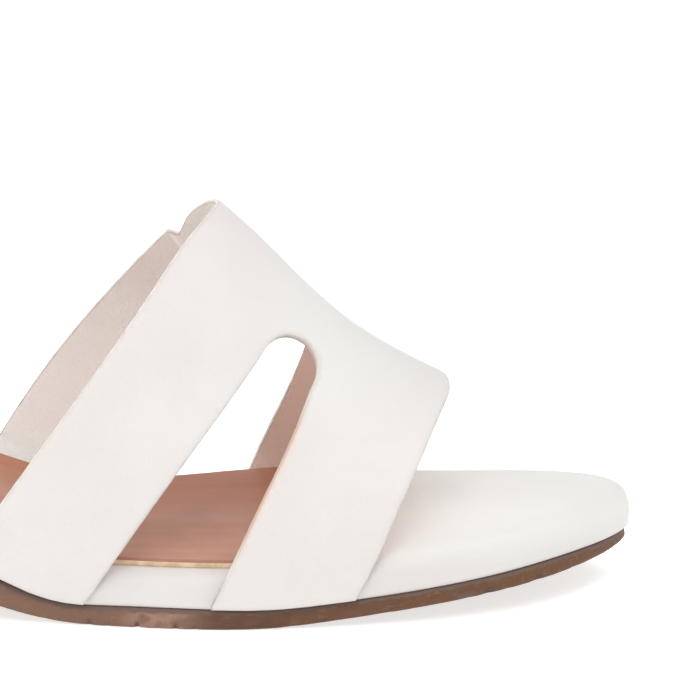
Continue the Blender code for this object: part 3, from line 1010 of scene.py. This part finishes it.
@dataclass(frozen=True)
class Heel:
    """The low covered block heel and the hard top piece that it stands on."""

    stations: int = 160
    lift: float = 5.0
    gap: float = 0.02  # by which the block stands free of what it meets
    breast: float = 58.0
    breast_round: Triple = (9.0, 3.0, 0.34)
    inset: float = 1.0
    taper_long: float = 0.07
    taper_wide: float = 0.08
    waist: float = 0.75
    middle: float = 30.0
    keep: float = 0.5
    caps: int = 8
    levels: int = 44
    roll: float = 0.5  # how far the block's ends are rolled in
    roll_reach: float = 0.03
    lift_side: Table = ((-0.8, 0.0), (-0.2, 0.15), (0.0, 0.8), (0.0, 4.2), (-0.2, 4.8), (-0.9, 4.97))
    lift_rows: int = 16

    def tapered(self, x: Array, y: Array, level: Array | float) -> tuple[Array, Array]:
        """Return plan points drawn in as they are at a level, 0 at the seat and 1 at the foot."""
        shrink = np.clip(level, 0.0, 1.0) ** self.waist
        x = self.middle + (x - self.middle) * (1.0 - self.taper_long * shrink)
        return x, y * (1.0 - self.taper_wide * shrink)

    def column(self, rows: Array) -> Array:
        """Return points of the block.

        Formula: plan drawn in by the taper of the level; height on the straight line between
        the outsole's underside over the seat point and the level top of the top piece.

        Args:
            rows: (seat x, seat y, level from the foot up).
        """
        x, y, level = rows[..., 0], rows[..., 1], 1.0 - rows[..., 2]
        top = FORM.underside(x, y) - self.gap
        height = top + (self.lift + self.gap - top) * level
        return np.stack([*self.tapered(x, y, level), height], axis=-1)

    def build(self, cover: Material, rubber: Material) -> None:
        """Make the block, its ends rolled in by a quarter round, and the top piece.

        Args:
            cover: the block's leather.
            rubber: the top piece's material.
        """
        seat = FORM.short_outline(self.stations, self.breast, self.breast_round, self.inset)
        share = (1.0 - np.cos(np.linspace(0.0, math.pi, self.levels))) / 2.0
        from_end = np.clip(np.minimum(share, 1.0 - share) / self.roll_reach, 0.0, 1.0)
        rolled = -self.roll * (1.0 - np.sqrt(1.0 - (1.0 - from_end) ** 2))
        closing = {"caps": self.caps, "middle": self.middle, "keep": self.keep}
        block = Loft(seat, np.stack([rolled, share], axis=-1), **closing)
        foot = np.stack(self.tapered(*seat.T, 1.0), axis=-1)
        lift = Loft(foot, smooth_profile(self.lift_side, self.lift_rows), **closing)
        make_piece("heel_cover", "heel_block", block.shape(self.column), [cover])
        make_piece("heel_top_layer", "heel_top_piece", lift.shape(lambda rows: rows), [rubber])


# ---- the upper


@dataclass(frozen=True)
class Crease:
    """One soft trough or ridge of the strap leather."""

    side: Side
    v: float  # across the band, 0 at the rear edge and 1 at the front edge
    t: float  # up the ribs, 0 at the sole and 1 at the ridge
    length: float  # millimetres
    width: float  # millimetres
    turn: float  # degrees from the ribs' direction
    height: float  # millimetres, below 0 for a trough


@dataclass(frozen=True)
class StrapLayer:
    """One layer of the upper, by depth below the outer skin, in millimetres."""

    top: float
    bottom: float
    rounding: float  # of the cut edge, on the layer's upper face
    under: float  # and on its lower face
    dip: float  # how far the upper face is thinned at the cut edge
    dip_reach: float
    fade: float = 2.5  # how far in from the cut edge the rounding is felt
    turn_points: int = 6  # along each quarter round of the cut edge


def outside_normals(points: Array, faces: Array) -> Array:
    """Return unit normals, the sums of the faces' area vectors, pointing away from the foot.

    Args:
        points: the skin's points.
        faces: its quads.
    """
    corners = points[faces]
    area = np.cross(corners[:, 2] - corners[:, 0], corners[:, 3] - corners[:, 1])
    total = np.zeros_like(points)
    np.add.at(total, faces.ravel(), np.repeat(area, 4, axis=0))
    normals = unit(total)
    return normals if dot(points - np.array(StrapUpper.foot_middle), normals).mean() > 0.0 else -normals


def nearest_on(points: Array, line: Array, carried: Array) -> tuple[Array, Array, Array]:
    """Find each point's nearest place on a closed line.

    Formula: the nearest of the line's points is found first; the point is then projected on
    the stretch before it and the stretch after it, and the nearer of the two places is kept.

    Args:
        points: the points to measure from.
        line: the closed line's points.
        carried: a vector at each of the line's points.

    Returns:
        Each point's distance, its nearest place, and the carried vector there.
    """
    block = 2000  # points measured at once
    nearest = np.concatenate([
        np.linalg.norm(part[:, None] - line[None], axis=-1).argmin(axis=1)
        for part in np.array_split(points, max(1, len(points) // block))
    ])
    best = np.full(len(points), np.inf)
    place, vector = np.empty_like(points), np.empty_like(points)
    for step in (-1, 1):
        other = (nearest + step) % len(line)
        stretch = line[other] - line[nearest]
        share = np.clip(dot(points - line[nearest], stretch) / dot(stretch, stretch), 0.0, 1.0)[:, None]
        here = line[nearest] + stretch * share
        gap = np.linalg.norm(points - here, axis=-1)
        nearer = gap < best
        best = np.where(nearer, gap, best)
        place[nearer] = here[nearer]
        vector[nearer] = ((1.0 - share) * carried[nearest] + share * carried[other])[nearer]
    return best, place, unit(vector)


@dataclass
class Skin:
    """The upper's welded outer skin, and what is measured from its cut edge."""

    points: Array
    faces: Array
    loop: Array  # point numbers of the cut edge, in order
    carried: dict[Attribute, Array]
    uneven: Ripple = Ripple(7.0, 0.8, 0.03)

    def __post_init__(self) -> None:
        """Find the normals, the way out at the cut edge, and every point's distance to it."""
        self.normals = outside_normals(self.points, self.faces)
        edge = self.points[self.loop]
        along = unit(np.roll(edge, -1, axis=0) - np.roll(edge, 1, axis=0))
        self.out = unit(np.cross(along, self.normals[self.loop]))
        self.distance, nearest, self.lead = nearest_on(self.points, edge, self.out)
        if np.mean(dot(self.points - nearest, self.lead)) > 0.0:
            self.out, self.lead = -self.out, -self.lead

    def layer(self, cut: StrapLayer) -> Shape:
        """Return one closed layer of the upper.

        Formula: both faces are the skin moved in along its normals, and drawn back from the cut
        edge by the rounding, which fades over a short reach. The rim carries a profile of two
        quarter rounds and a flat along the cut edge.

        Args:
            cut: the layer's depths and rounding.
        """
        fade = self.lead * np.clip(1.0 - self.distance / cut.fade, 0.0, 1.0)[:, None]
        thin = (cut.dip * np.clip(1.0 - self.distance / cut.dip_reach, 0.0, 1.0) ** 2)[:, None]
        top = self.points - fade * cut.rounding - (cut.top + thin) * self.normals
        bottom = self.points - fade * cut.under - cut.bottom * self.normals
        turn = np.linspace(0.0, math.pi / 2.0, cut.turn_points)
        depth = np.concatenate([
            cut.top + cut.dip + cut.rounding * (1.0 - np.cos(turn)),
            cut.bottom - cut.under * (1.0 - np.sin(turn)),
        ])[:, None, None]
        back = np.concatenate([cut.rounding * (1.0 - np.sin(turn)), cut.under * (1.0 - np.cos(turn))])
        edge = self.points[self.loop]
        reach = (-back[:, None] + self.uneven.along(edge))[..., None]
        rim = edge[None] - depth * self.normals[self.loop][None] + reach * self.out[None]
        count, edges = len(self.points), len(edge)
        rings = 2 * count + np.arange((len(rim) - 2) * edges).reshape(-1, edges)
        strip = ring_faces(np.concatenate([self.loop[None], rings, count + self.loop[None]]))
        strip = strip[:, [0, 3, 2, 1]]
        carried = {Attribute.EDGE: self.distance, **self.carried}
        return Shape(
            np.concatenate([top, bottom, rim[1:-1].reshape(-1, 3)]),
            np.concatenate([self.faces, self.faces[:, ::-1] + count, strip]),
            {key: np.concatenate([on, on, np.tile(on[self.loop], len(rings))])
             for key, on in carried.items()},
            np.repeat([0, 1], [2 * len(self.faces), len(strip)]),
        )


@dataclass(frozen=True)
class StrapUpper:
    """The H-shaped band: white leather outside, pale lining inside, raw cut edges."""

    # Each rib's place along the shoe at the outer foot, at the inner foot and at the ridge.
    rear_rib: Triple = (97.7, 101.0, 153.2)
    front_rib: Triple = (181.5, 184.2, 200.7)
    ridge: Table = (
        (153.2, 80.2), (162.0, 72.0), (170.4, 63.2), (180.1, 54.2),
        (187.1, 49.4), (194.0, 45.5), (200.7, 42.2),
    )
    ridge_side: float = 4.0
    foot_gap: float = 0.2  # the strap's foot ends this far above the outsole
    rim_share: float = 0.13
    rim_top: float = 13.1
    rim_bulge: Table = ((0.0, 1.7), (0.2, 2.35), (0.45, 2.68), (1.0, 2.62))
    foot_middle: Triple = (150.0, 0.0, 20.0)
    # Share of the way up, then how far backwards a rib bows from its straight lean: the rear rib
    # on the outer and on the inner side, then the front rib on the outer and on the inner side.
    bow: Table = (
        (0.00, 0.0, 0.0, 0.0, 0.0), (0.15, 1.7, 2.9, 0.4, 0.4), (0.33, 3.3, 4.9, 0.95, 1.2),
        (0.50, 4.0, 4.3, 0.75, 0.9), (0.65, 4.1, 3.0, 0.35, 0.6), (0.80, 3.3, 1.7, -0.5, 0.4),
        (0.90, 1.6, 0.7, -0.95, 0.1), (1.00, 0.0, 0.0, -0.45, -0.45),
    )
    # Share of the way up, then the slot's rear and front edge on the outer and inner side.
    slot: Table = (
        (0.00, 0.320, 0.636, 0.335, 0.657), (0.15, 0.326, 0.618, 0.340, 0.643),
        (0.35, 0.340, 0.597, 0.350, 0.632), (0.50, 0.357, 0.582, 0.361, 0.598),
        (0.66, 0.374, 0.559, 0.374, 0.545),
    )
    # Share of the way up the inner side, then the depth of the small notch in the rear edge.
    notch: Table = (
        (0.6665, 0.0), (0.6760, 0.036), (0.6850, 0.030), (0.7000, 0.0248),
        (0.7390, 0.0086), (0.7840, 0.0036), (0.8600, 0.001), (1.0000, 0.0),
    )
    notch_fade: float = 0.07  # share of the band over which the notch dies away
    shoulder: float = 0.66
    crown: float = 0.785
    crown_power: float = 0.8
    crown_packing: float = 1.25  # above 1 packs the crown's columns towards its two ends
    leg_rows: int = 96
    plate_rows: int = 52
    rear_columns: int = 40
    slot_columns: int = 44
    front_columns: int = 40
    slot_middle: float = 0.467  # across the band, past which the slot's edge takes the painted warm light
    warm_end: float = 0.85  # and where, across the band, the warmth has gone
    warm_fade: float = 0.2
    warm_span: Pair = (0.14, 0.64)  # where it begins and ends up the ribs
    warm_ease: float = 0.1
    lining_end: float = 0.677  # the sum of the shares at which the lining ends
    lining_front: float = 0.2  # across the band, past which it goes on to the ridge
    lining_turn: float = 6.0
    rise: float = 67.0  # millimetres up a rib
    leather: StrapLayer = StrapLayer(0.0, 1.02, 0.40, 0.12, 0.14, 1.5)
    lining: StrapLayer = StrapLayer(1.04, 1.60, 0.14, 0.16, 0.0, 1.0)
    creases: tuple[Crease, ...] = (
        Crease(Side.OUTER, 0.10, 0.150, 16.0, 2.4, 90.0, -0.16),
        Crease(Side.OUTER, 0.80, 0.150, 16.0, 2.4, 90.0, -0.14),
        Crease(Side.OUTER, 0.46, 0.860, 14.0, 4.0, 78.0, 0.14),
        Crease(Side.INNER, 0.12, 0.150, 16.0, 2.4, 90.0, -0.16),
        Crease(Side.INNER, 0.82, 0.150, 16.0, 2.4, 90.0, -0.14),
        Crease(Side.INNER, 0.46, 0.860, 14.0, 4.0, 78.0, 0.12),
    )
    crease_step: float = 0.02  # how far from a crease its directions are read

    def rib_point(self, v: Array, t: Array, side: Side) -> Array:
        """Return points of the outer skin.

        Formula: below the rim share a rib lies against the footbed's side and rises evenly;
        above it the rib is a quarter ellipse from the rim to the ridge. Along the shoe a rib
        leans from its foot to its crest in step with its height, less a bow mixed from the
        rear rib's and the front rib's.

        Args:
            v: 0 at the rear rib, 1 at the front rib.
            t: 0 at the sole, 1 at the ridge.
            side: the side of the foot.
        """
        column = 0 if side is Side.OUTER else 1
        foot = self.rear_rib[column] + (self.front_rib[column] - self.rear_rib[column]) * v
        crest = self.rear_rib[2] + (self.front_rib[2] - self.rear_rib[2]) * v
        base = FORM.underside(foot, FORM.edge(foot, side))
        low = base + SOLE_THICKNESS(foot) + self.foot_gap
        high = RIDGE_HEIGHT(crest)
        rim = np.clip(t / self.rim_share, 0.0, 1.0)
        angle = np.clip((t - self.rim_share) / (1.0 - self.rim_share), 0.0, 1.0) * math.pi / 2.0
        rim_top = base + self.rim_top
        z = low + (rim_top - low) * rim + (high - rim_top) * np.sin(angle)
        start = base + FORM.plain_sole
        rear_bow, front_bow = BOW[side]
        lean = foot + (crest - foot) * (z - start) / (high - start)
        x = lean - rear_bow(t) * (1.0 - v) - front_bow(t) * v
        edge = FORM.edge(x, side)
        slope = FORM.slope(x, edge)
        height = np.clip(z - FORM.underside(x, edge), 0.0, FORM.footbed_top)
        edge = FORM.edge(x + slope * height / (1.0 + slope ** 2), side) + side.value * RIM_BULGE(rim)
        return np.stack([x, self.ridge_side + (edge - self.ridge_side) * np.cos(angle), z], axis=-1)

    def half_grid(self, side: Side) -> tuple[Array, Array]:
        """Return the (v, t) of the legs' rows and of the plate's rows on one side.

        Formula: leg rows hold a rear field up to the slot's rear edge and a front field from its
        front edge. Plate columns start at the shoulder, or on the slot's crown, whose height is
        the sine of the turn to a power, and end evenly spaced at the ridge. On the inner side a
        small notch pushes the rear columns forward, dying away with the distance from the edge.

        Args:
            side: the side of the foot.
        """
        first = 1 if side is Side.OUTER else 3
        edges = [NaturalCurve(self.slot, column) for column in (first, first + 1)]
        rear = np.linspace(0.0, 1.0, self.rear_columns + 1)
        front = np.linspace(0.0, 1.0, self.front_columns + 1)
        t = np.linspace(0.0, self.shoulder, self.leg_rows + 1)[:, None]
        left, right = (edge(t) for edge in edges)
        v = np.concatenate([rear * left, right + front * (1.0 - right)], axis=1)
        legs = np.stack([v, np.broadcast_to(t, v.shape)], axis=-1)
        left, right = (edge(self.shoulder) for edge in edges)
        way = np.linspace(0.0, 1.0, self.slot_columns + 1)[1:-1]
        near, far = way ** self.crown_packing, (1.0 - way) ** self.crown_packing
        turn = math.pi * near / (near + far)
        crown_v = (left + right) / 2.0 - (right - left) / 2.0 * np.cos(turn)
        v = np.concatenate([rear * left, crown_v, right + front * (1.0 - right)])
        start = np.full(len(v), self.shoulder)
        crown_t = self.shoulder + (self.crown - self.shoulder) * np.sin(turn) ** self.crown_power
        start[self.rear_columns + 1:self.rear_columns + self.slot_columns] = crown_t
        share = np.linspace(0.0, 1.0, self.plate_rows + 1)[:, None]
        t = start + (1.0 - start) * share
        v = v * (1.0 - share) + np.linspace(0.0, 1.0, len(v)) * share
        if side is Side.INNER:
            v = v + np.interp(t, *np.array(self.notch).T) * np.exp(-v / self.notch_fade) * (1.0 - v)
        return legs, np.stack([v, t], axis=-1)

    def relief(self, points: Array, side: Side) -> Array:
        """Return the height of the listed creases at points of one side.

        Formula: each crease is a bell along its length times a bell across its width, both
        measured from its own place in the plane of the rib and the band.

        Args:
            points: points of the outer skin.
            side: the side of the foot.
        """
        total = np.zeros(points.shape[:-1])
        for crease in (crease for crease in self.creases if crease.side is side):
            v = crease.v + self.crease_step * np.array([0.0, 0.0, 1.0])
            t = crease.t + self.crease_step * np.array([0.0, 1.0, 0.0])
            centre, up, across = self.rib_point(v, t, side)
            up, across = unit(up - centre), unit(across - centre)
            cos, sin = math.cos(math.radians(crease.turn)), math.sin(math.radians(crease.turn))
            away = points - centre
            along = hump(away @ (up * cos + across * sin), crease.length)
            total += crease.height * along * hump(away @ (across * cos - up * sin), crease.width)
        return total

    def carried(self, v: Array, t: Array, side: Side) -> Array:
        """Return what each point of one side carries: the edge's painted warm light, millimetres past the
        lining.

        Formula: warmth is 1 on the outer front leg beside the slot, between the rim and the
        slot's crown, falling evenly to 0 across the leg and over a short way at both ends. The
        lining ends along a line where a third of the share across the band and the share up the
        ribs add up to one number, and only in the rear part of the band.

        Args:
            v: 0 at the rear rib, 1 at the front rib.
            t: 0 at the sole, 1 at the ridge.
            side: the side of the foot.
        """
        start, end = self.warm_span
        fade = np.clip((self.warm_end - v) / self.warm_fade, 0.0, 1.0)
        ends = np.clip((t - start) / self.warm_ease, 0.0, 1.0) * np.clip((end - t) / self.warm_ease, 0.0, 1.0)
        # painted warm light along the outer front leg's slot edge
        warmth = np.where((v > self.slot_middle) & (side is Side.OUTER), fade, 0.0) * ends
        past = v / 3.0 + t - self.lining_end - self.lining_turn * np.clip(v - self.lining_front, 0.0, None)
        return np.stack([warmth, past * self.rise], axis=-1)

    def skin(self) -> Skin:
        """Return the welded outer skin.

        The cut edge runs up the rear edge over the ridge to the inner side, round both inner
        legs and their slot, back over the ridge along the front edge, and round both outer legs
        and their slot.
        """
        points, faces, relief, carried, numbers, total = [], [], [], [], {}, 0
        for side in Side:
            for key, grid in zip(("legs", "plate"), self.half_grid(side)):
                place = self.rib_point(grid[..., 0], grid[..., 1], side)
                index = total + np.arange(place[..., 0].size).reshape(place.shape[:2])
                total += index.size
                points.append(place.reshape(-1, 3))
                relief.append(self.relief(place, side).ravel())
                carried.append(self.carried(grid[..., 0], grid[..., 1], side).reshape(-1, 2))
                numbers[side, key] = index
                blocks = (self.rear_columns + 1,) if key == "legs" else ()
                wind = slice(None, None, -side.value)
                faces += [sheet_faces(part)[:, wind] for part in np.split(index, blocks, axis=1)]
        points = np.concatenate(points)
        _, first, same = np.unique(np.round(points, 4), axis=0, return_index=True, return_inverse=True)
        same = same.ravel()
        loop = same[self._edge_line(numbers)]
        points, faces = points[first], same[np.concatenate(faces)]
        points = points + np.concatenate(relief)[first][:, None] * outside_normals(points, faces)
        on = dict(zip((Attribute.WARM, Attribute.FACING), np.concatenate(carried)[first].T))
        return Skin(points, faces, loop[loop != np.roll(loop, 1)], on)

    def _edge_line(self, numbers: dict) -> Array:
        """Return the cut edge as point numbers before welding.

        Args:
            numbers: the grids' point numbers, by side and part.
        """
        rear, slot = self.rear_columns, self.slot_columns
        parts = []
        for side, climb in ((Side.INNER, 1), (Side.OUTER, -1)):
            legs, plate = numbers[side, "legs"], numbers[side, "plate"]
            half = [
                plate[::-1, 0], legs[::-1, 0], legs[0, :rear + 1], legs[:, rear],
                plate[0, rear:rear + slot + 1],
                legs[::-1, rear + 1], legs[0, rear + 1:], legs[:, -1], plate[:, -1],
            ]
            parts += [part[::climb] for part in half[::climb]]
        return np.concatenate(parts)

    def build(self, leather: list[Material], lining: list[Material]) -> None:
        """Make the leather and the lining, each with the finish of its faces and of its cut edge."""
        skin = self.skin()
        make_piece("strap_leather", "upper", skin.layer(self.leather), leather)
        make_piece("strap_lining", "upper", skin.layer(self.lining), lining, stands_for=False)


RIDGE_HEIGHT = NaturalCurve(StrapUpper.ridge)
RIM_BULGE = NaturalCurve(StrapUpper.rim_bulge)
BOW = {
    side: (NaturalCurve(StrapUpper.bow, column), NaturalCurve(StrapUpper.bow, column + 2))
    for column, side in enumerate(Side, 1)
}


# ---- floor, light, camera


@dataclass(frozen=True)
class Studio:
    """A plain pale floor that mostly glows, soft light and the camera."""

    floor_size: float = 6.0
    floor_tone: float = 0.60
    floor_drift: float = 0.01  # how much darker its darker patches are
    floor_patch: float = 300.0
    floor_glow: float = 1.15
    sky: float = 0.76
    lamp_size: float = 1.0
    # Each lamp's name, its power in watts and where it hangs.
    lamps: tuple[tuple[str, float, Triple], ...] = (
        ("front_lamp", 12.4, (0.0, -1.3, 1.5)),
        ("heel_lamp", 24.0, (-1.8, 0.3, 0.9)),
        ("toe_lamp", 10.5, (0.9, 0.1, 1.8)),
    )
    target: Triple = (0.06152, 0.00066, 0.04896)
    elevation: float = 15.0
    distance: float = 4.0
    view_width: float = 0.14583
    sensor: float = 36.0
    sight: float = 20.0

    def floor(self) -> None:
        """Lay the floor, whose own light is its tone times the glow."""
        half = self.floor_size / 2.0
        mesh = bpy.data.meshes.new("floor")
        corners = [(-half, -half, 0.0), (half, -half, 0.0), (half, half, 0.0), (-half, half, 0.0)]
        mesh.from_pydata(corners, [], [(0, 1, 2, 3)])
        material, bench, shader = new_material("floor_paper")
        tones = {"First": self.floor_tone, "Second": self.floor_tone - self.floor_drift}
        greys = {key: (tone, tone, tone, 1.0) for key, tone in tones.items()}
        tone = bench.use(Effect.DRIFT, Size=self.floor_patch, **greys)["Colour"]
        glow = {"Emission Color": tone, "Emission Strength": self.floor_glow}
        bench.feed(shader, {"Base Color": tone, "Roughness": 0.9, "Specular IOR Level": 0.1, **glow})
        mesh.materials.append(material)
        new_object("floor", mesh)

    def light(self) -> None:
        """Set the even white surround and the square soft lamps, which face the sandal."""
        world = bpy.data.worlds.new("studio")
        world.use_nodes = True
        surround = world.node_tree.nodes["Background"].inputs
        surround["Color"].default_value = (1.0, 1.0, 1.0, 1.0)
        surround["Strength"].default_value = self.sky
        bpy.context.scene.world = world
        bpy.context.scene.view_settings.view_transform = "Standard"
        for name, power, place in self.lamps:
            light = bpy.data.lights.new(name, "AREA")
            light.energy = power
            light.size = self.lamp_size
            lamp = new_object(name, light)
            lamp.location = place
            x, y, z = np.array(self.target) - np.array(place)
            lamp.rotation_euler = (math.atan2(math.hypot(x, y), -z), 0.0, math.atan2(y, x) - math.pi / 2.0)

    def camera(self) -> None:
        """Set the long-lens camera above the floor, looking square across the shoe."""
        camera = bpy.data.cameras.new("camera")
        camera.sensor_width = self.sensor
        camera.lens = self.sensor * self.distance / self.view_width
        camera.clip_end = self.sight
        rise = math.radians(self.elevation)
        item = new_object("camera", camera)
        x, y, z = self.target
        item.location = (x, y - self.distance * math.cos(rise), z + self.distance * math.sin(rise))
        item.rotation_euler = (math.pi / 2.0 - rise, 0.0, 0.0)
        bpy.context.scene.camera = item


def main() -> None:
    """Build the finishes, the pieces and the studio."""
    logging.basicConfig(level=logging.INFO, format="%(message)s")
    make_effects()
    strap_white = WhiteLeather("strap_white", wear_and_shade_reach=1.2).build()
    cooler = {"light": srgb(209, 206, 204), "dark": srgb(207, 202, 199)}
    wrap_white = WhiteLeather("wrap_white", **cooler, painted_light_height=(11.0, 16.0)).build()
    heel_white = WhiteLeather("heel_white").build()
    cut = CutEdge("cut_edge").build()
    lining_cut = CutEdge("lining_edge", light=srgb(188, 180, 173), dark=srgb(172, 163, 156)).build()
    sock_cut = CutEdge("sock_edge", light=srgb(228, 205, 178), dark=srgb(204, 171, 140)).build()
    Outsole().build(SoleEdge("sole_edge").build())
    Footbed().build(wrap_white)
    SockLining().build(TanLeather("tan").build(), sock_cut)
    Heel().build(heel_white, HeelRubber("heel_rubber").build())
    StrapUpper().build([strap_white, cut], [LiningLeather("lining").build(), lining_cut])
    studio = Studio()
    studio.floor()
    studio.light()
    studio.camera()


if __name__ == "__main__":
    main()
